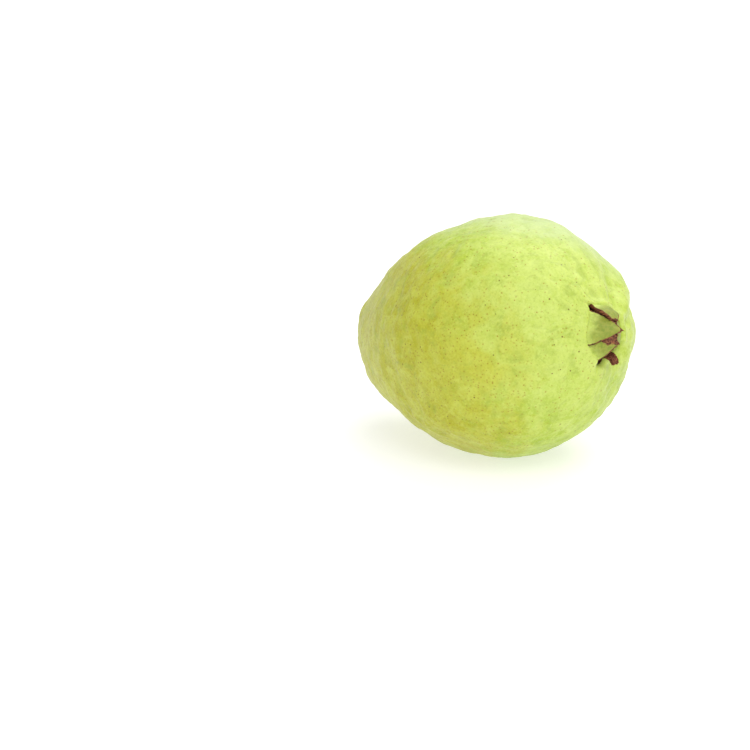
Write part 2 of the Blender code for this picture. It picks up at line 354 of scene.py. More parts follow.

# %% [markdown]
# Steps that every piece goes through
#
# The skin, the cushion and the stalk start upright as a profile that a Screw modifier turns about the
# axis. Once a modifier is applied, its vertices can be moved one by one, and numbers can be kept on
# them for a material to read. At the end each piece is laid down with the fruit, hung under the root
# body, and the solid that it stands for is hidden.

# %% Helpers for pieces
SCREW_MERGE = 0.00001


def apply_modifiers(obj):
    """Makes what the modifiers show into the object's own mesh."""
    bpy.context.view_layer.update()
    graph = bpy.context.evaluated_depsgraph_get()
    obj.data = bpy.data.meshes.new_from_object(obj.evaluated_get(graph))
    obj.modifiers.clear()


def place_in_scene(name, data):
    obj = bpy.data.objects.new(name, data)
    bpy.context.scene.collection.objects.link(obj)
    return obj


def turned(name, profile, segments):
    """An object turned about Z from (radius, height) points that run down its outer side."""
    mesh = bpy.data.meshes.new(name)
    points = [(radius, 0.0, height) for radius, height in profile]
    mesh.from_pydata(points, [(i, i + 1) for i in range(len(points) - 1)], [])
    obj = place_in_scene(name, mesh)
    screw = obj.modifiers.new("turn", "SCREW")
    screw.steps = screw.render_steps = segments
    screw.use_merge_vertices = True
    screw.merge_threshold = SCREW_MERGE
    apply_modifiers(obj)
    return obj


def keep_on_vertices(mesh, name, values):
    """Stores one number for each vertex, for a material to read."""
    mesh.attributes.new(name, "FLOAT", "POINT").data.foreach_set("value", values)


def lay_down(obj, nodes):
    """Lays a piece down with the fruit, hangs it under the root body, and hides the solid pieces that it
    stands for.
    """
    obj.data.shade_smooth()
    obj.data.transform(PLACE)
    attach(obj, "root")
    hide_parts(*nodes)


print("each piece turns by, in degrees:", [round(math.degrees(turn)) for turn in PLACE.to_euler()])

# %% [markdown]
# The skin's profile
#
# The skin is a turned shape. Its profile runs from the middle of the cup, up its wall and over the
# lip, and then down the egg to the stalk, with points about half a millimetre apart. The lip is where
# the egg is as wide as the cup. Its height is found by halving, which needs no formula turned round.

# %% The skin's profile
RINGS = 264
CUP_DEPTH = 3.4 * MM
CUP_STEPS = 12
CUP_FLAT = 0.82


def lip_place():
    """Where the egg's radius is the lip's: found by halving, as a share of the half length."""
    low, high = 0.9, 1.0
    for _ in range(40):
        middle = (low + high) / 2.0
        low, high = (middle, high) if egg_radius(middle) > LIP_RADIUS else (low, middle)
    return low


LIP_ALONG = lip_place()
LIP_HEIGHT = LIP_ALONG * HALF_LENGTH


def skin_profile():
    """Points of the profile: the cup's flat floor, its wall, and the egg down to the stalk."""
    floor = LIP_HEIGHT - CUP_DEPTH
    cup = [(LIP_RADIUS * CUP_FLAT * i / CUP_STEPS, floor) for i in range(CUP_STEPS)]
    for i in range(CUP_STEPS):
        corner = math.pi / 2.0 * i / CUP_STEPS
        reach = LIP_RADIUS * (CUP_FLAT + (1.0 - CUP_FLAT) * math.sin(corner) ** 2)
        cup.append((reach, floor + CUP_DEPTH * math.sin(corner) ** 0.7))
    first = math.acos(LIP_ALONG)
    steps = [first + (math.pi - first) * i / (RINGS - 1) for i in range(RINGS)]
    egg = [(egg_radius(math.cos(s)), HALF_LENGTH * math.cos(s)) for s in steps]
    egg[-1] = (0.0, -HALF_LENGTH)
    return cup + egg


print("points on the profile:", len(skin_profile()), "and lip at, in mm:", round(LIP_HEIGHT / MM, 2))

# %% [markdown]
# Building the skin
#
# When the turned shape is ready, every vertex is moved along the egg's own normal by the sum of the
# forms. The cup's floor and wall rise with the lip above them instead. Two numbers are kept on each
# vertex for the material: how deep it lies in a crease, and how far inside the cup or a split it is.
# The material darkens the creases with them as painted shade, and browns the cup and the splits, where
# the dark brown is partly dry tissue and partly painted shade.

# %% Make the skin
SEGMENTS = 330
NORMAL_STEP = 0.00005
CRUMBS = 0.35 * MM
CRUMB_SIZE = 1.1 * MM
SPLIT_REACH = 12.0 * MM


def egg_normal(point):
    """Outward normal of the plain egg at a point of it."""
    along = max(-0.9999, min(0.9999, point.z / HALF_LENGTH))
    rise = egg_radius(along + NORMAL_STEP) - egg_radius(along - NORMAL_STEP)
    slope = rise / (2.0 * NORMAL_STEP * HALF_LENGTH)
    reach = max(1e-9, math.hypot(point.x, point.y))
    return Vector((point.x / reach, point.y / reach, -slope)).normalized()


def shape_cup(vertex, turn):
    """Moves a vertex of the cup, and returns its crease and cup numbers."""
    point = vertex.co.copy()
    lip = Vector((LIP_RADIUS * math.cos(turn), LIP_RADIUS * math.sin(turn), LIP_HEIGHT))
    depth = max(0.0, LIP_HEIGHT - point.z)
    raised = (large_forms(lip) + lip_forms(LIP_RADIUS, turn)) * (1.0 - depth / CUP_DEPTH)
    vertex.co.z += raised + CRUMBS * noise.noise(point / CRUMB_SIZE) * ramp(depth, 0.0, 1.0 * MM)
    return 0.0, ramp(depth, -0.1 * MM, 0.8 * MM)


def shape_outside(vertex, reach, turn):
    """Moves a vertex outside the cup, and returns its crease and cup numbers."""
    point = vertex.co.copy()
    fine = fine_forms(point)
    height = large_forms(point) + fine
    if point.z > 0.0:
        height += lip_forms(reach, turn)
    vertex.co = point + egg_normal(point) * height
    split = split_depth(reach, turn) if point.z > 0.0 and reach < SPLIT_REACH else 0.0
    return fine / MM, ramp(split, 0.5 * MM, 1.6 * MM)


def make_skin():
    skin = turned("skin", skin_profile(), SEGMENTS)
    kept = []
    for vertex in skin.data.vertices:
        reach = math.hypot(vertex.co.x, vertex.co.y)
        turn = math.atan2(vertex.co.y, vertex.co.x)
        if vertex.co.z > 0.0 and reach < LIP_RADIUS - 0.001 * MM:
            kept.append(shape_cup(vertex, turn))
        else:
            kept.append(shape_outside(vertex, reach, turn))
    keep_on_vertices(skin.data, "crease", [crease for crease, cup in kept])
    keep_on_vertices(skin.data, "cup", [cup for crease, cup in kept])
    lay_down(skin, ["fruit"])
    return skin


skin = make_skin()
print("skin:", len(skin.data.vertices), "vertices,", 2 * len(skin.data.polygons), "triangles at most")

# %% [markdown]
# Resting on the table
#
# A real guava is soft enough to sit on a small patch of skin. The lowest part of the skin is pressed
# flat to the table's height, so nothing of it goes below, and it isn't left hanging either.

# %% Press the resting spot flat
TABLE_HEIGHT = 0.0


def press_flat(obj):
    """Moves every vertex that lies below the table up to it."""
    low = [vertex for vertex in obj.data.vertices if vertex.co.z < TABLE_HEIGHT]
    for vertex in low:
        vertex.co.z = TABLE_HEIGHT
    return len(low)


print("vertices pressed flat:", press_flat(skin))

# %% [markdown]
# The shape of a sepal
#
# Each sepal is a leathery blade, about a millimetre thick. It starts as a flat grid, and every point
# of the grid is worked out from two numbers: how far across the blade it is, and how far up. So its
# outline, its bend and its tuck under the next sepal stay easy to control one by one. The bend is
# walked in small steps whose lean changes evenly from the root to the tip.

# %% The shape of a sepal
RIM_HEIGHT = HALF_LENGTH - 1.0 * MM
SEPAL_SUNK = 1.3 * MM
SPINE_STEPS = 24
RAGGED = 0.10
WAVE = 0.3 * MM


def sepal_spine(sepal, share):
    """(distance inwards from the root, height above it) at a share of the sepal's length."""
    root_lean, tip_lean = sepal["leans"]
    inwards = 0.0
    height = 0.0
    for i in range(SPINE_STEPS):
        lean = math.radians(root_lean + (tip_lean - root_lean) * share * (i + 0.5) / SPINE_STEPS)
        inwards += math.sin(lean) * sepal["length"] * MM * share / SPINE_STEPS
        height += math.cos(lean) * sepal["length"] * MM * share / SPINE_STEPS
    return inwards, height


def sepal_outline(sepal, share):
    """Width of a sepal as a share of its width at the root."""
    return 1.0 - (1.0 - sepal["blunt"]) * max(0.0, share) ** sepal["taper"]


def sepal_point(sepal, across, share, seed):
    """A point of a sepal's middle surface, for across from -1 to 1 and share below 0 in the flesh."""
    up = max(0.0, share)
    inwards, height = sepal_spine(sepal, up)
    ragged = 1.0 + RAGGED * up * noise.noise(Vector((seed, up * 5.0, across)))
    side = across * sepal["width"] * MM / 2.0 * sepal_outline(sepal, share) * ragged
    root = sepal["root"] * MM
    curve = side**2 / (2.0 * root) * (1.0 - 0.5 * up)
    corner = corner_of(sepal, across) * across**2 * (1.0 - ramp(up, 0.08, 0.42))
    tucked = sepal["tuck"] * MM * ramp(-across, 0.1, 1.0) * ramp(up, 0.1, 0.4) * (1.0 - 0.5 * up)
    wave = WAVE * up * noise.noise(Vector((seed + 7.0, up * 2.6, across * 1.4)))
    shift = sepal["slant"] * MM * up**2
    low = RIM_HEIGHT - SEPAL_SUNK + min(0.0, share) * sepal["length"] * MM
    return Vector((root - inwards - curve + corner - tucked + wave, side + shift, low + height))


tips = [sepal_point(sepal, 0.0, 1.0, 0.0) for sepal in SEPALS]
print("sepal tips above the rim, in mm:", [round((tip.z - RIM_HEIGHT) / MM, 1) for tip in tips])

# %% [markdown]
# Where a sepal is dry
#
# A sepal dies from its edges inwards, so its dry margin widens towards the tip. The nearest edge
# decides how dry a point is. The material reads this number and turns it into brown.

# %% Where a sepal is dry
THIN_MARGIN = 0.4
TIP_MARGIN = 0.5


def dryness(sepal, across, share):
    """1 on the dry margin of a sepal, falling to 0 inside it."""
    up = max(0.0, share)
    half = sepal["width"] / 2.0 * sepal_outline(sepal, share)
    left, right = (max(THIN_MARGIN, margin * up**1.5) for margin in sepal["margins"])
    from_left = (1.0 + across) * half / left
    from_right = (1.0 - across) * half / right
    from_tip = (1.0 - share) * sepal["length"] / TIP_MARGIN
    nearest = min(from_left, from_right, from_tip)
    return max(sepal["dry"], 1.0 - 0.5 * nearest) * ramp(share, 0.02, 0.15)


print("dryness halfway up the right edges:", [round(dryness(sepal, 1.0, 0.5), 2) for sepal in SEPALS])

# %% [markdown]
# Building the sepals
#
# A Solidify modifier gives the bent grid its thickness, a little less towards the tip. It also puts a
# second material on the inner side and on the edge, where the real sepal is red-brown and dry. Last,
# the edges are roughened with noise, because dry tissue tears and crumbles.

# %% Make the sepals
SEPAL_ACROSS = 30
SEPAL_ALONG = 40
ROOTED = -0.18
THINNER = 0.30
ROUGHNESS = 0.16 * MM
ROUGH_SIZE = 0.55 * MM
SEED_STEP = 3.7


def thicken(obj, sepal, shares):
    """Gives a sepal its thickness, with its second material on the inner side and the edge."""
    group = obj.vertex_groups.new(name="thickness")
    for index, share in enumerate(shares):
        group.add([index], 1.0 - THINNER * max(0.0, share), "REPLACE")
    for _ in range(2):
        obj.data.materials.append(None)
    solidify = obj.modifiers.new("thickness", "SOLIDIFY")
    solidify.thickness = sepal["thick"] * MM
    solidify.offset = 0.0
    solidify.vertex_group = "thickness"
    solidify.material_offset = 1
    solidify.material_offset_rim = 1
    apply_modifiers(obj)


def roughen_edges(mesh, seed):
    """Crumbles the vertices near a sepal's edge and tip."""
    across = mesh.attributes["across"].data
    share = mesh.attributes["share"].data
    for index, vertex in enumerate(mesh.vertices):
        at_side = ramp(abs(across[index].value), 0.90, 1.0)
        at_tip = ramp(share[index].value, 0.92, 1.0)
        rough = noise.noise_vector(vertex.co / ROUGH_SIZE + Vector((seed, 0.0, 0.0)))
        vertex.co += ROUGHNESS * max(at_side, at_tip) * rough


def make_sepal(number, sepal):
    sheet = bmesh.new()
    bmesh.ops.create_grid(sheet, x_segments=SEPAL_ACROSS, y_segments=SEPAL_ALONG, size=1.0)
    grid = [(vertex.co.x, ROOTED + (1.0 - ROOTED) * (vertex.co.y + 1.0) / 2.0) for vertex in sheet.verts]
    for vertex, (across, share) in zip(sheet.verts, grid):
        vertex.co = sepal_point(sepal, across, share, number * SEED_STEP)
    mesh = bpy.data.meshes.new(f"sepal_{number}")
    sheet.to_mesh(mesh)
    sheet.free()
    keep_on_vertices(mesh, "across", [across for across, share in grid])
    keep_on_vertices(mesh, "share", [share for across, share in grid])
    keep_on_vertices(mesh, "dry", [dryness(sepal, across, share) for across, share in grid])
    mesh.transform(Matrix.Rotation(math.radians(sepal["place"]), 4, "Z"))
    obj = place_in_scene(f"sepal_{number}", mesh)
    thicken(obj, sepal, [share for across, share in grid])
    roughen_edges(obj.data, number)
    lay_down(obj, ["calyx"])
    return obj


sepals = [make_sepal(number, sepal) for number, sepal in enumerate(SEPALS, start=1)]
print("sepals:", [(sepal.name, len(sepal.data.polygons)) for sepal in sepals])

# %% [markdown]
# Dried stamens
#
# A guava flower has a brush of hundreds of stamens. On the fruit they are dry threads that crumble in
# the cup under the sepals. Threads are curves: each gets a few points that lean in over the cup and
# a radius that thins along it and swells again near the end, where the anther was. One curve holds
# them all, and becomes one mesh. A seeded random draw places them, so every run is the same. The last
# and thickest thread is the style, in the middle.

# %% Make the stamens
STAMEN_COUNT = 150
THREAD_RADIUS = 0.17 * MM
THREAD_RADII = (1.2, 1.0, 0.9, 0.8, 0.75, 1.3, 0.9)
STYLE_RADII = [2.2 * radius for radius in THREAD_RADII]
CUP_FLOOR = HALF_LENGTH - 4.0 * MM
draw = random.Random(11)


def add_thread(curve, points, radii):
    spline = curve.splines.new("POLY")
    spline.points.add(len(points) - 1)
    for spot, point, radius in zip(spline.points, points, radii):
        spot.co = (*point, 1.0)
        spot.radius = radius


def thread_points(reach, turn, length, lean, curl):
    """Points of a thread that rises from the cup, leaning inwards and curling sideways."""
    points = []
    last = len(THREAD_RADII) - 1
    for i in range(last + 1):
        share = i / last
        radial = reach - math.sin(lean) * length * share - 0.3 * length * share**2 * math.sin(lean)
        sideways = curl * length * share**2
        height = CUP_FLOOR + length * share * math.cos(lean)
        x = radial * math.cos(turn) - sideways * math.sin(turn)
        y = radial * math.sin(turn) + sideways * math.cos(turn)
        points.append((x, y, height))
    return points


def mesh_from_curve(name, curve):
    """A mesh object with a curve's shape, so that it shades and exports like the rest."""
    guide = place_in_scene(name, curve)
    bpy.context.view_layer.update()
    graph = bpy.context.evaluated_depsgraph_get()
    mesh = bpy.data.meshes.new_from_object(guide.evaluated_get(graph))
    bpy.data.objects.remove(guide)
    return place_in_scene(name, mesh)


def make_stamens():
    curve = bpy.data.curves.new("stamen_threads", "CURVE")
    curve.dimensions = "3D"
    curve.bevel_depth = THREAD_RADIUS
    curve.bevel_resolution = 1
    curve.use_fill_caps = True
    for _ in range(STAMEN_COUNT):
        reach = draw.uniform(2.6, 6.2) * MM
        turn = draw.uniform(0.0, math.tau)
        length = draw.uniform(3.2, 5.4) * MM
        lean = draw.uniform(-0.1, 0.6)
        curl = draw.uniform(-0.5, 0.5)
        add_thread(curve, thread_points(reach, turn, length, lean, curl), THREAD_RADII)
    add_thread(curve, thread_points(0.3 * MM, 0.0, 5.0 * MM, 0.1, 0.2), STYLE_RADII)
    threads = mesh_from_curve("stamen_threads", curve)
    lay_down(threads, ["dried_stamens"])
    return threads


threads = make_stamens()
print("stamen threads:", STAMEN_COUNT, "in", len(threads.data.polygons), "faces")

# %% [markdown]
# The flower's cushion
#
# The threads stand in the crumbly remains of the flower. That is a low turned dome, made rough with
# noise on its upper side, and its underside is hidden in the cup.

# %% Make the cushion
CUSHION_RADIUS = 6.3 * MM
CUSHION_RISE = 1.5 * MM
CUSHION_FOOT = CUP_FLOOR - 0.3 * MM


def make_cushion():
    """The crumbly remains of the flower that the threads stand in."""
    steps = [i / 14.0 for i in range(15)]
    profile = [(CUSHION_RADIUS * s, CUP_FLOOR + CUSHION_RISE * (1.0 - s**2.2)) for s in steps]
    profile += [(CUSHION_RADIUS * (1.0 - s), CUSHION_FOOT) for s in steps]
    cushion = turned("flower_cushion", profile, 90)
    for vertex in cushion.data.vertices:
        lift = ramp(vertex.co.z, CUSHION_FOOT, CUP_FLOOR + 0.3 * MM)
        vertex.co.z += lift * 0.45 * MM * noise.noise(vertex.co / (0.7 * MM))
    lay_down(cushion, ["dried_stamens"])
    return cushion


cushion = make_cushion()
print("cushion:", len(cushion.data.polygons), "faces")

# %% [markdown]
# Stalk
#
# The stub is what is left after picking: a few millimetres of green-brown bark with a torn, dry
# end. It's a turned profile again, with a foot that flares where it grows out of the flesh. Five
# shallow ribs and some bark texture are added to its radius, and the end is dished, because the pith
# in the middle shrinks more than the wood round it.

# %% Make the stalk
STALK_RADIUS = 1.9 * MM
DIMPLE_FLOOR = DIMPLE_DEPTH - HALF_LENGTH
STALK_TOP = DIMPLE_FLOOR + 3.0 * MM
STALK_END = DIMPLE_FLOOR - 4.2 * MM
STALK_RIBS = 5
RIB_TWIST = 1.2


def stalk_profile():
    """The stalk's side with its flared foot, its rounded end corner, and its dished end."""
    length = STALK_TOP - STALK_END
    profile = [(0.0, STALK_TOP), (STALK_RADIUS * 0.6, STALK_TOP)]
    for s in [i / 40.0 for i in range(41)]:
        profile.append((STALK_RADIUS * (0.92 + 0.30 * (1.0 - s) ** 3), STALK_TOP - length * s * 0.97))
    for corner in (0.3, 0.6):
        height = STALK_END + 0.12 * MM * (1.0 - math.sin(corner))
        profile.append((STALK_RADIUS * 0.90 * math.cos(corner), height))
    for ring in [1.0 - i / 9.0 for i in range(1, 10)]:
        profile.append((STALK_RADIUS * 0.74 * ring, STALK_END + 0.45 * MM * (1.0 - ring**2)))
    return profile


def make_stalk():
    stalk = turned("stalk_stub", stalk_profile(), 96)
    ends = []
    for vertex in stalk.data.vertices:
        point = vertex.co.copy()
        reach = math.hypot(point.x, point.y)
        turn = math.atan2(point.y, point.x)
        bark = ramp(reach, STALK_RADIUS * 0.7, STALK_RADIUS * 0.95)
        rib = 0.07 * math.cos(STALK_RIBS * turn + RIB_TWIST * point.z / STALK_RADIUS)
        flake = 0.05 * noise.noise(Vector((point.x, point.y, point.z * 0.4)) / (0.5 * MM))
        swell = 1.0 + bark * (rib + flake)
        vertex.co = Vector((point.x * swell, point.y * swell, point.z))
        torn = 1.0 - ramp(point.z, STALK_END, STALK_END + 0.8 * MM)
        vertex.co.z += 0.22 * MM * torn * noise.noise(point / (0.6 * MM))
        ends.append(1.0 - ramp(point.z, STALK_END + 0.1 * MM, STALK_END + 1.2 * MM))
    keep_on_vertices(stalk.data, "cut", ends)
    lay_down(stalk, ["stalk"])
    return stalk


stalk = make_stalk()
print("stalk:", len(stalk.data.polygons), "faces")

# %% [markdown]
# Helpers for materials
#
# A node tree is a program, so it is written like one. Small helpers keep it readable: one adds a
# node, one puts a number, a colour or another node's output into a socket, and others do arithmetic
# and mix colours. Colours are given as they look on a screen, from 0 to 255, and turned into the
# linear values that Blender works with.

# %% Helpers for node trees
def screen(red, green, blue):
    """A colour as it looks on a screen, as the linear RGBA that Blender works with."""
    linear = []
    for value in (red, green, blue):
        share = value / 255.0
        linear.append(share / 12.92 if share <= 0.04045 else ((share + 0.055) / 1.055) ** 2.4)
    return (*linear, 1.0)


def add(tree, kind, **settings):
    node = tree.nodes.new("ShaderNode" + kind)
    for name, value in settings.items():
        setattr(node, name, value)
    return node


def feed(tree, value, socket):
    """Links an output to a socket, or sets a plain value on it."""
    if isinstance(value, bpy.types.NodeSocket):
        tree.links.new(value, socket)
    else:
        socket.default_value = value


def calculate(tree, operation, *values):
    node = add(tree, "Math", operation=operation)
    for value, socket in zip(values, node.inputs):
        feed(tree, value, socket)
    return node.outputs[0]


def times(tree, first, second):
    return calculate(tree, "MULTIPLY", first, second)


def plus(tree, first, second):
    return calculate(tree, "ADD", first, second)


def stretch(tree, value, low, high, to_low=0.0, to_high=1.0):
    """Maps low..high smoothly to to_low..to_high, and clamps outside it."""
    node = add(tree, "MapRange", interpolation_type="SMOOTHSTEP")
    for wanted, socket in zip((value, low, high, to_low, to_high), node.inputs):
        feed(tree, wanted, socket)
    return node.outputs[0]


def blend_colours(tree, factor, first, second):
    node = add(tree, "Mix", data_type="RGBA", blend_type="MIX")
    feed(tree, factor, node.inputs[0])
    feed(tree, first, node.inputs[6])
    feed(tree, second, node.inputs[7])
    return node.outputs[2]


print("middle grey on the screen is", round(screen(128, 128, 128)[0], 3), "in linear light")

# %% [markdown]
# Coordinates, noise and groups
#
# Every texture is laid out in the fruit's own upright frame, in millimetres. So its sizes can be
# thought of as on the real fruit, and a pattern runs on from one piece to the next. A node group is
# used for an effect that more than one material needs, with its sizes as inputs.

# %% Helpers for textures and groups
def own_millimetres(tree):
    """Coordinates in the fruit's own upright frame, in millimetres: every piece shares them."""
    node = add(tree, "Mapping", vector_type="TEXTURE")
    feed(tree, add(tree, "TexCoord").outputs["Object"], node.inputs["Vector"])
    node.inputs["Location"].default_value = FRUIT_MIDDLE
    node.inputs["Rotation"].default_value = LAID_DOWN.to_euler()
    node.inputs["Scale"].default_value = (MM, MM, MM)
    return node.outputs[0]


def noise_texture(tree, place, size, detail=2.0, roughness=0.5, distortion=0.0):
    """Noise from 0 to 1 whose features are about size millimetres wide."""
    node = add(tree, "TexNoise")
    feed(tree, place, node.inputs["Vector"])
    feed(tree, calculate(tree, "DIVIDE", 1.0, size), node.inputs["Scale"])
    node.inputs["Detail"].default_value = detail
    node.inputs["Roughness"].default_value = roughness
    node.inputs["Distortion"].default_value = distortion
    return node.outputs["Fac"]


def shifted(tree, place, amount, by):
    """A place that is moved by another output, times an amount of millimetres."""
    node = add(tree, "VectorMath", operation="MULTIPLY_ADD")
    feed(tree, by, node.inputs[0])
    node.inputs[1].default_value = (amount, amount, amount)
    feed(tree, place, node.inputs[2])
    return node.outputs[0]


def vertex_value(tree, name):
    return add(tree, "Attribute", attribute_name=name).outputs["Fac"]


def new_group(name, inputs, outputs):
    """An empty shader node group: inputs are names with defaults, outputs are names."""
    group = bpy.data.node_groups.new(name, "ShaderNodeTree")
    for label, value in inputs.items():
        socket = group.interface.new_socket(label, in_out="INPUT", socket_type="NodeSocketFloat")
        socket.default_value = value
    for label in outputs:
        group.interface.new_socket(label, in_out="OUTPUT", socket_type="NodeSocketFloat")
    return group, group.nodes.new("NodeGroupInput").outputs, group.nodes.new("NodeGroupOutput").inputs


def place_group(tree, group, **values):
    """Places a group in a tree with its own values, and returns its outputs."""
    node = add(tree, "Group", node_tree=group)
    for label, value in values.items():
        feed(tree, value, node.inputs[label.replace("_", " ")])
    return node.outputs


print("textures turn with the fruit by, in degrees:", round(90.0 - math.degrees(LEAN)))

# %% [markdown]
# Mottling
#
# Mottling is the cloudy change from fresh green to yellow, and the pale net that lies over it. The
# clouds are a plain noise. The net is the sum of a finer noise and of soft cells whose borders it
# bends, so that no cell looks drawn.

# %% Mottling
def make_mottling():
    group, given, result = new_group("mottling", {"Cloud Size": 14.0, "Net Size": 3.0}, ("Clouds", "Net"))
    place = own_millimetres(group)
    clouds = noise_texture(group, place, given["Cloud Size"], detail=3.0, roughness=0.6, distortion=0.4)
    feed(group, stretch(group, clouds, 0.36, 0.64), result["Clouds"])
    patches = noise_texture(group, place, given["Net Size"], detail=4.0, roughness=0.68, distortion=0.5)
    cells = add(group, "TexVoronoi", feature="SMOOTH_F1")
    feed(group, shifted(group, place, 3.0, patches), cells.inputs["Vector"])
    feed(group, calculate(group, "DIVIDE", 0.7, given["Net Size"]), cells.inputs["Scale"])
    cells.inputs["Smoothness"].default_value = 0.6
    ridge = times(group, cells.outputs["Distance"], 0.55)
    feed(group, stretch(group, plus(group, ridge, patches), 0.48, 1.04), result["Net"])
    return group


MOTTLING = make_mottling()
print("mottling:", len(MOTTLING.nodes), "nodes")

# %% [markdown]
# Pores
#
# Pores are the small brown dots, which are breathing holes closed with cork. Each cell of a Voronoi
# texture may hold one, and the cell's own random colour decides whether it does and how large it is.
# Since the cells are solid, the skin cuts them at all heights and the dots come out in all sizes. A
# fine noise moves the edge of each dot, and a soft halo is given as a second output.

# %% Pores
PORE_EDGE = 0.22


def make_pores():
    inputs = {"Spacing": 2.0, "Size": 0.3, "Share": 0.6}
    group, given, result = new_group("pores", inputs, ("Dots", "Halo"))
    place = own_millimetres(group)
    uneven = add(group, "TexNoise")
    feed(group, place, uneven.inputs["Vector"])
    uneven.inputs["Scale"].default_value = 4.0
    cells = add(group, "TexVoronoi", feature="F1", distance="EUCLIDEAN")
    feed(group, shifted(group, place, PORE_EDGE, uneven.outputs["Color"]), cells.inputs["Vector"])
    feed(group, calculate(group, "DIVIDE", 1.0, given["Spacing"]), cells.inputs["Scale"])
    away = times(group, cells.outputs["Distance"], given["Spacing"])
    chance = add(group, "SeparateColor")
    feed(group, cells.outputs["Color"], chance.inputs[0])
    there = calculate(group, "LESS_THAN", chance.outputs["Red"], given["Share"])
    size = times(group, given["Size"], stretch(group, chance.outputs["Green"], 0.0, 1.0, 0.5, 1.1))
    dot = stretch(group, away, times(group, size, 0.55), size, 1.0, 0.0)
    halo = stretch(group, away, size, times(group, size, 2.6), 1.0, 0.0)
    feed(group, times(group, dot, there), result["Dots"])
    feed(group, times(group, halo, there), result["Halo"])
    return group


PORES = make_pores()
print("pores:", len(PORES.nodes), "nodes")

# %% [markdown]
# Drying
#
# Drying is the streaky brown of dead tissue. Its fibres are a noise that is stretched along the
# fruit's axis, the way the fibres of a sepal and of bark run, and its flakes are a plain noise of
# more than twice their size.

# %% Drying
FIBRE_STRETCH = (1.0, 1.0, 0.28)


def make_drying():
    group, given, result = new_group("drying", {"Fibre Size": 0.5}, ("Fibres", "Flakes"))
    place = own_millimetres(group)
    squeezed = add(group, "VectorMath", operation="MULTIPLY")
    feed(group, place, squeezed.inputs[0])
    squeezed.inputs[1].default_value = FIBRE_STRETCH
    fibres = noise_texture(group, squeezed.outputs[0], given["Fibre Size"], detail=3.0, roughness=0.65)
    flakes = noise_texture(group, place, times(group, given["Fibre Size"], 2.4), detail=3.0)
    feed(group, stretch(group, fibres, 0.3, 0.7), result["Fibres"])
    feed(group, stretch(group, flakes, 0.35, 0.65), result["Flakes"])
    return group


DRYING = make_drying()
print("drying:", len(DRYING.nodes), "nodes")

# %% [markdown]
# Steps that every material shares
#
# All finishes here are the same shader with other numbers. Four helpers start one, weigh a point's
# place on the fruit, break up a mask's edge with noise, and turn a height into relief. A fifth lets
# light into living tissue, where it comes out nearby.

# %% Helpers for finishes
LIGHT_REACH = (1.0, 0.9, 0.3)


def new_material(name):
    material = bpy.data.materials.new(name)
    material.use_nodes = True
    tree = material.node_tree
    return material, tree, tree.nodes["Principled BSDF"]


def weighed_place(tree, weights):
    """The sum of a point's own coordinates, each times its weight."""
    product = add(tree, "VectorMath", operation="DOT_PRODUCT")
    feed(tree, own_millimetres(tree), product.inputs[0])
    product.inputs[1].default_value = weights
    return product.outputs["Value"]


def clouded(tree, mask, size, amount):
    """A mask whose edge is broken up by noise."""
    clouds = noise_texture(tree, own_millimetres(tree), size, detail=3.0, roughness=0.6)
    return plus(tree, mask, times(tree, clouds, amount))


def raise_relief(tree, shader, height, depth):
    """Feeds a height to the shader's normal, where a height of 1 stands for a depth in millimetres."""
    relief = add(tree, "Bump")
    relief.inputs["Distance"].default_value = depth * MM
    feed(tree, height, relief.inputs["Height"])
    feed(tree, relief.outputs[0], shader.inputs["Normal"])


def let_light_in(shader, weight, scale):
    shader.inputs["Subsurface Weight"].default_value = weight
    shader.inputs["Subsurface Radius"].default_value = LIGHT_REACH
    shader.inputs["Subsurface Scale"].default_value = scale


print("light reaches into the skin, red, green and blue:", LIGHT_REACH)

# %% [markdown]
# Colours of the skin
#
# Guava skin is a green that leans to yellow where the fruit is riper, here on one side, low and
# towards the stalk; that yellow is also darker, as painted shade on the low side. The upper side near
# the calyx is painted paler as a painted highlight, and the top and back get a painted sheen of milky
# white. Over that lie the pale net, patches and a fine grain, and the creases are a deeper green,
# which is painted shade. Each side is three weights, one for each of a point's own coordinates in
# millimetres.

# %% Colours of the skin
FRESH = screen(170, 195, 38)
RIPE_SHADED = screen(177, 175, 16)
PALE = screen(206, 221, 116)
PALE_RIPE = screen(199, 206, 80)
PAINTED_SHEEN = screen(206, 222, 168)
DEEP_GREEN_AND_SHADE = screen(144, 166, 50)
RIPE_AND_SHADED_SIDE = (0.004, -0.030, -0.012)
PAINTED_HIGHLIGHT_SIDE = (-0.006, -0.014, 0.021)
PAINTED_SHEEN_SIDE = (-0.0253, 0.0169, -0.001)
PATCH_SIZE = 5.0
GRAIN_SIZE = 0.7


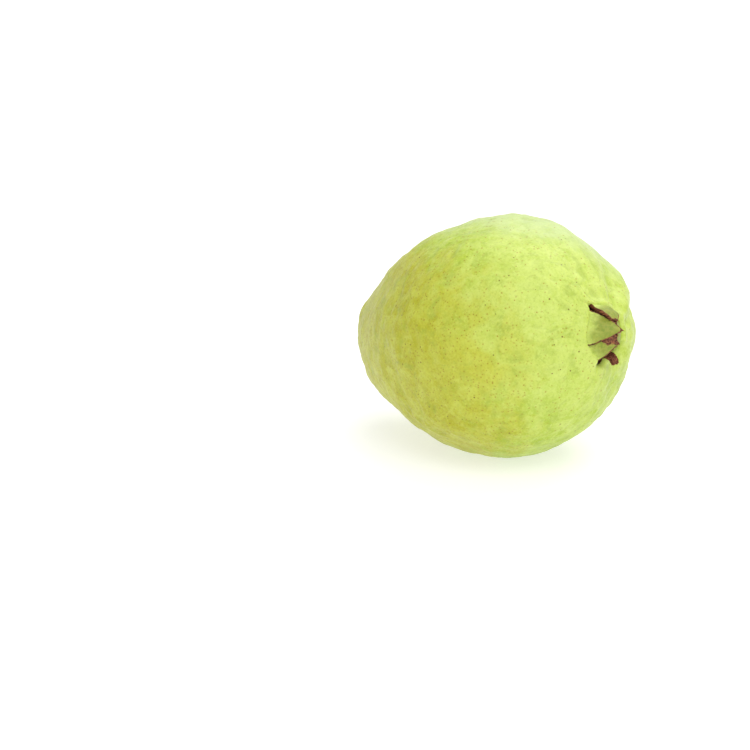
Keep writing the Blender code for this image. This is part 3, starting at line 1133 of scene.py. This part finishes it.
def skin_colour(tree):
    """The skin's colour without its pores, and how far it has turned yellow and been darkened as painted
    shade.
    """
    mottling = place_group(tree, MOTTLING, Cloud_Size=10.0, Net_Size=3.0)
    # Ripe side: real yellowing, also painted darker as painted shade on the low side towards the stalk.
    ripe = plus(tree, weighed_place(tree, RIPE_AND_SHADED_SIDE), times(tree, mottling["Clouds"], 0.35))
    yellow_and_shaded = stretch(tree, ripe, 0.22, 1.0)
    colour = blend_colours(tree, yellow_and_shaded, FRESH, RIPE_SHADED)
    pale = blend_colours(tree, yellow_and_shaded, PALE, PALE_RIPE)
    # Painted highlight: the upper side near the calyx is painted paler, where light falls on it.
    painted_highlight = stretch(tree, clouded(tree, weighed_place(tree, PAINTED_HIGHLIGHT_SIDE), 6.0, 0.5), 0.85, 1.45)
    colour = blend_colours(tree, times(tree, painted_highlight, 0.55), colour, pale)
    colour = blend_colours(tree, times(tree, mottling["Net"], 0.50), colour, pale)
    place = own_millimetres(tree)
    patches = noise_texture(tree, place, PATCH_SIZE, detail=4.0, roughness=0.65, distortion=0.6)
    colour = blend_colours(tree, stretch(tree, patches, 0.49, 0.66, 0.0, 0.58), colour, pale)
    colour = blend_colours(tree, stretch(tree, patches, 0.48, 0.30, 0.0, 0.40), colour, DEEP_GREEN_AND_SHADE)
    grain = noise_texture(tree, place, GRAIN_SIZE, detail=3.0, roughness=0.7)
    colour = blend_colours(tree, stretch(tree, grain, 0.5, 0.72, 0.0, 0.60), colour, pale)
    colour = blend_colours(tree, stretch(tree, grain, 0.5, 0.24, 0.0, 0.42), colour, DEEP_GREEN_AND_SHADE)
    # Painted sheen: the top and back are painted a milky white, where a sheen of light from above would
    # show.
    painted_sheen = stretch(tree, clouded(tree, weighed_place(tree, PAINTED_SHEEN_SIDE), 7.0, 0.35), 0.70, 1.14)
    colour = blend_colours(tree, times(tree, painted_sheen, 0.60), colour, PAINTED_SHEEN)
    # Painted shade: the low creases of the relief are darkened with a deeper green.
    crease = stretch(tree, vertex_value(tree, "crease"), -0.05, -0.30)
    colour = blend_colours(tree, times(tree, crease, 0.30), colour, DEEP_GREEN_AND_SHADE)
    return colour, yellow_and_shaded


print("fresh green:", [round(value, 3) for value in FRESH[:3]])
print("ripe yellow:", [round(value, 3) for value in RIPE_SHADED[:3]])

# %% [markdown]
# Pores on the skin
#
# Two sizes of pores are used: many faint golden ones, most of them where the skin is riper, and few
# large dark ones. The large ones are also given back, because they are a little sunken.

# %% Pores on the skin
GOLDEN = screen(158, 132, 20)
PORE_BROWN = screen(110, 82, 14)
SMALL_PORES = {"Spacing": 0.85, "Size": 0.22}
LARGE_PORES = {"Spacing": 2.4, "Size": 0.31, "Share": 0.6}


def with_pores(tree, colour, yellow_and_shaded):
    """A colour with pores on it, and where its large pores are."""
    share = stretch(tree, yellow_and_shaded, 0.0, 1.0, 0.25, 0.95)
    small = place_group(tree, PORES, Share=share, **SMALL_PORES)
    large = place_group(tree, PORES, **LARGE_PORES)
    colour = blend_colours(tree, times(tree, small["Halo"], 0.16), colour, GOLDEN)
    colour = blend_colours(tree, times(tree, small["Dots"], 0.90), colour, GOLDEN)
    colour = blend_colours(tree, times(tree, large["Dots"], 0.85), colour, PORE_BROWN)
    return colour, large["Dots"]


print("millimetres between pores:", SMALL_PORES["Spacing"], "and", LARGE_PORES["Spacing"])

# %% [markdown]
# Skin material
#
# The skin is waxy, so its gloss is soft and uneven, and it has a faint sheen. Some light goes in and
# comes out nearby, which a little subsurface scattering gives. Waves and grain too fine for the mesh
# are a bump. Inside the cup and the splits the skin is dry and brown, and its deep dark brown there is
# also painted shade in these hollows.

# %% Make the skin material
DRY_BROWN_AND_SHADE = screen(74, 36, 18)
WAX_GRAIN = 0.55
WAX_WAVES = 1.7


def make_skin_material():
    material, tree, shader = new_material("guava_skin")
    colour, dots = with_pores(tree, *skin_colour(tree))
    drying = place_group(tree, DRYING, Fibre_Size=0.5)
    # Dark brown in the cup and the splits: dry tissue, and also painted shade in the hollows.
    ragged = plus(tree, vertex_value(tree, "cup"), times(tree, drying["Flakes"], 0.25))
    dry = stretch(tree, ragged, 0.35, 0.75)
    feed(tree, blend_colours(tree, dry, colour, DRY_BROWN_AND_SHADE), shader.inputs["Base Color"])
    place = own_millimetres(tree)
    grain = noise_texture(tree, place, WAX_GRAIN, detail=2.0, roughness=0.6)
    feed(tree, stretch(tree, grain, 0.3, 0.7, 0.42, 0.56), shader.inputs["Roughness"])
    waves = noise_texture(tree, place, WAX_WAVES, detail=2.0, roughness=0.5)
    height = plus(tree, times(tree, waves, 0.16), times(tree, grain, 0.03))
    height = calculate(tree, "SUBTRACT", height, times(tree, dots, 0.03))
    raise_relief(tree, shader, height, 1.0)
    let_light_in(shader, 0.20, 2.0 * MM)
    shader.inputs["IOR"].default_value = 1.42
    shader.inputs["Sheen Weight"].default_value = 0.10
    shader.inputs["Sheen Roughness"].default_value = 0.4
    return material


def dress(obj, material):
    """Gives a piece one material in place of those it has."""
    obj.data.materials.clear()
    obj.data.materials.append(material)


dress(skin, make_skin_material())
print("skin material:", skin.data.materials[0].name)

# %% [markdown]
# Dry tissue
#
# The sepals' inner sides, the stamens and the cushion are dead tissue: red-brown, matt and fibrous.
# It is one material with other fibre sizes. Where a piece carries the number for its share of the
# length, the tissue is darker near the root and lighter towards the tip: painted shade and painted light.

# %% Dry tissue
DRY_LIGHT = screen(134, 72, 42)
DRY_TIP_LIT = screen(172, 106, 68)
DRY_DARK = screen(60, 24, 12)
DRY_DEEP = screen(36, 14, 8)


def dry_colour(tree, fibre_size):
    """The colour of dry tissue, and the drying group that it is made with."""
    drying = place_group(tree, DRYING, Fibre_Size=fibre_size)
    # Painted light and shade: darker near the sepal's root, lighter towards its tip.
    at_tip = stretch(tree, vertex_value(tree, "share"), 0.25, 0.8)
    light = blend_colours(tree, at_tip, DRY_LIGHT, DRY_TIP_LIT)
    colour = blend_colours(tree, drying["Fibres"], DRY_DARK, light)
    return blend_colours(tree, times(tree, drying["Flakes"], 0.45), colour, DRY_DEEP), drying


def make_dry_tissue(name, fibre_size, depth):
    material, tree, shader = new_material(name)
    colour, drying = dry_colour(tree, fibre_size)
    feed(tree, colour, shader.inputs["Base Color"])
    feed(tree, stretch(tree, drying["Flakes"], 0.0, 1.0, 0.7, 0.95), shader.inputs["Roughness"])
    raise_relief(tree, shader, drying["Fibres"], depth)
    shader.inputs["Specular IOR Level"].default_value = 0.25
    return material


dress(threads, make_dry_tissue("stamen_threads", 0.25, 0.05))
dress(cushion, make_dry_tissue("flower_cushion", 0.5, 0.15))
print("dry materials:", threads.data.materials[0].name, cushion.data.materials[0].name)

# %% [markdown]
# Sepal materials
#
# A sepal has two finishes. Its outer face starts as the same green as the skin, turns olive towards
# the tip, and has a dry brown margin that follows the torn outline. Its inner face and its edge are
# dry tissue. Both read the same drying group, so the brown of the margin runs on over the edge. The
# two slots were made with the sepal, so here they are only filled.

# %% Make the sepal materials
OLIVE = screen(124, 144, 30)
SEPAL_GOLD = screen(176, 172, 66)


def make_sepal_green():
    material, tree, shader = new_material("sepal_outer")
    base = skin_colour(tree)[0]
    mottling = place_group(tree, MOTTLING, Cloud_Size=4.0, Net_Size=0.9)
    olive = blend_colours(tree, times(tree, mottling["Net"], 0.55), OLIVE, SEPAL_GOLD)
    upwards = plus(tree, vertex_value(tree, "share"), times(tree, mottling["Clouds"], 0.15))
    colour = blend_colours(tree, stretch(tree, upwards, 0.20, 0.62), base, olive)
    brown, drying = dry_colour(tree, 0.4)
    ragged = plus(tree, vertex_value(tree, "dry"), times(tree, drying["Flakes"], 0.18))
    margin = stretch(tree, ragged, 0.56, 0.76)
    feed(tree, blend_colours(tree, margin, colour, brown), shader.inputs["Base Color"])
    feed(tree, stretch(tree, margin, 0.0, 1.0, 0.5, 0.85), shader.inputs["Roughness"])
    raise_relief(tree, shader, drying["Fibres"], 0.05)
    let_light_in(shader, 0.1, MM)
    return material


sepal_green = make_sepal_green()
sepal_dry = make_dry_tissue("sepal_inner", 0.35, 0.12)
for sepal in sepals:
    sepal.data.materials[0] = sepal_green
    sepal.data.materials[1] = sepal_dry
dry_faces = sum(face.material_index for sepal in sepals for face in sepal.data.polygons)
print("sepal materials:", sepal_green.name, sepal_dry.name, "with", dry_faces, "dry faces")

# %% [markdown]
# Stalk material
#
# The bark of the stub is olive green with brown fibres that run along it, and a few dark pores. Its
# cut end is pale dry wood with a dark ring of bark, and it uses the same drying group at another
# size.

# %% Make the stalk material
BARK_GREEN = screen(132, 142, 62)
BARK_BROWN = screen(96, 74, 40)
CUT_WOOD = screen(150, 112, 66)


def make_stalk_material():
    material, tree, shader = new_material("stalk_bark")
    drying = place_group(tree, DRYING, Fibre_Size=0.6)
    bark = blend_colours(tree, drying["Fibres"], BARK_BROWN, BARK_GREEN)
    wood = blend_colours(tree, drying["Flakes"], CUT_WOOD, BARK_BROWN)
    cut = stretch(tree, vertex_value(tree, "cut"), 0.35, 0.9)
    colour = blend_colours(tree, cut, bark, wood)
    pores = place_group(tree, PORES, Spacing=0.8, Size=0.2, Share=0.4)
    colour = blend_colours(tree, times(tree, pores["Dots"], 0.6), colour, DRY_DARK)
    feed(tree, colour, shader.inputs["Base Color"])
    feed(tree, stretch(tree, drying["Flakes"], 0.0, 1.0, 0.6, 0.85), shader.inputs["Roughness"])
    raise_relief(tree, shader, drying["Fibres"], 0.15)
    return material


dress(stalk, make_stalk_material())
print("stalk material:", stalk.data.materials[0].name)

# %% [markdown]
# Camera
#
# The lens is a short telephoto, 77 cm from the fruit. It looks down at 16 degrees and stands 44.5
# degrees round from the fruit's side, so the calyx shows at the right. The fruit is off the
# picture's centre, so the camera aims at a point to its left and a little below its middle.

# %% Place the camera
CAMERA_TURN = math.radians(44.5)
CAMERA_RISE = math.radians(16.0)
CAMERA_DISTANCE = 0.7706
LENS = 119.7
SENSOR_WIDTH = 36.0
AIM_RIGHT = -33.4 * MM
AIM_UP = -12.1 * MM


def towards(obj, aim):
    """The rotation with which a camera or a lamp looks from its place to a point."""
    return (obj.location - aim).to_track_quat("Z", "Y").to_euler()


def make_camera():
    level = math.cos(CAMERA_RISE)
    back = Vector((math.sin(CAMERA_TURN) * level, -math.cos(CAMERA_TURN) * level, math.sin(CAMERA_RISE)))
    right = Vector((math.cos(CAMERA_TURN), math.sin(CAMERA_TURN), 0.0))
    up = back.cross(right)
    camera = place_in_scene("camera", bpy.data.cameras.new("camera"))
    camera.data.lens = LENS
    camera.data.sensor_width = SENSOR_WIDTH
    camera.data.clip_start = 0.01
    camera.location = FRUIT_MIDDLE + back * CAMERA_DISTANCE
    camera.rotation_euler = towards(camera, FRUIT_MIDDLE + right * AIM_RIGHT + up * AIM_UP)
    bpy.context.scene.camera = camera
    return camera


camera = make_camera()
print("camera at, in mm:", [round(c / MM) for c in camera.location])

# %% [markdown]
# Floor
#
# The fruit lies on a white light table, the usual set-up for a catalogue picture. The table glows a
# little, so the shadow under the fruit stays faint.

# %% Make the floor
WHITE = (1.0, 1.0, 1.0, 1.0)
SHEET_GREY = (0.55, 0.55, 0.55, 1.0)
SHEET_GLOW = 0.58
SHEET_HALF = 6.0


def make_floor():
    mesh = bpy.data.meshes.new("floor")
    sheet = bmesh.new()
    bmesh.ops.create_grid(sheet, x_segments=1, y_segments=1, size=SHEET_HALF)
    sheet.to_mesh(mesh)
    sheet.free()
    floor = place_in_scene("floor", mesh)
    material, tree, shader = new_material("white_sheet")
    shader.inputs["Base Color"].default_value = SHEET_GREY
    shader.inputs["Roughness"].default_value = 0.8
    shader.inputs["Emission Color"].default_value = WHITE
    shader.inputs["Emission Strength"].default_value = SHEET_GLOW
    mesh.materials.append(material)
    floor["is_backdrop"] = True


make_floor()
print("floor, in m:", 2.0 * SHEET_HALF, "wide")

# %% [markdown]
# Light
#
# The table stands in a white room, which is the world's light, the same from all sides. Two large
# soft lamps hang above, one in front and one behind, and give the upper side its sheen. The backdrop
# is brighter than the room's light, so that it comes out white.

# %% Light the room
ROOM_LIGHT = 0.64
BACKDROP = 1.1
LAMPS = {
    "lamp_front": {"place": (0.60, -0.30, 0.80), "size": 0.8, "watts": 4.5},
    "lamp_back": {"place": (-0.10, 0.45, 0.85), "size": 1.0, "watts": 4.8},
}
LAMP_AIM = Vector((0.0, 0.0, 0.03))


def make_lamp(name, place, size, watts):
    lamp = place_in_scene(name, bpy.data.lights.new(name, "AREA"))
    lamp.data.shape = "DISK"
    lamp.data.size = size
    lamp.data.energy = watts
    lamp.location = place
    lamp.rotation_euler = towards(lamp, LAMP_AIM)


def make_room():
    world = bpy.data.worlds.new("white_room")
    world.use_nodes = True
    bpy.context.scene.world = world
    tree = world.node_tree
    room = tree.nodes["Background"]
    backdrop = add(tree, "Background")
    for background, strength in ((room, ROOM_LIGHT), (backdrop, BACKDROP)):
        background.inputs["Color"].default_value = WHITE
        background.inputs["Strength"].default_value = strength
    both = add(tree, "MixShader")
    feed(tree, add(tree, "LightPath").outputs["Is Camera Ray"], both.inputs[0])
    feed(tree, room.outputs[0], both.inputs[1])
    feed(tree, backdrop.outputs[0], both.inputs[2])
    feed(tree, both.outputs[0], tree.nodes["World Output"].inputs["Surface"])
    bpy.context.scene.view_settings.view_transform = "Standard"


make_room()
for name, lamp in LAMPS.items():
    make_lamp(name, **lamp)
print("lamps:", sorted(LAMPS))

# %% [markdown]
# Sizes
#
# The finer pieces must fill the same space as the solid model, so both boxes are printed side by
# side.

# %% Print both boxes and finish
boxes = {"solid": SOLID_BOX, "visual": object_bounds()}
boxes = {name: [list(map(float, corner)) for corner in box] for name, box in boxes.items()}
for axis in range(3):
    print("XYZ"[axis], [[round(box[corner][axis] / MM, 1) for corner in (0, 1)] for box in boxes.values()])
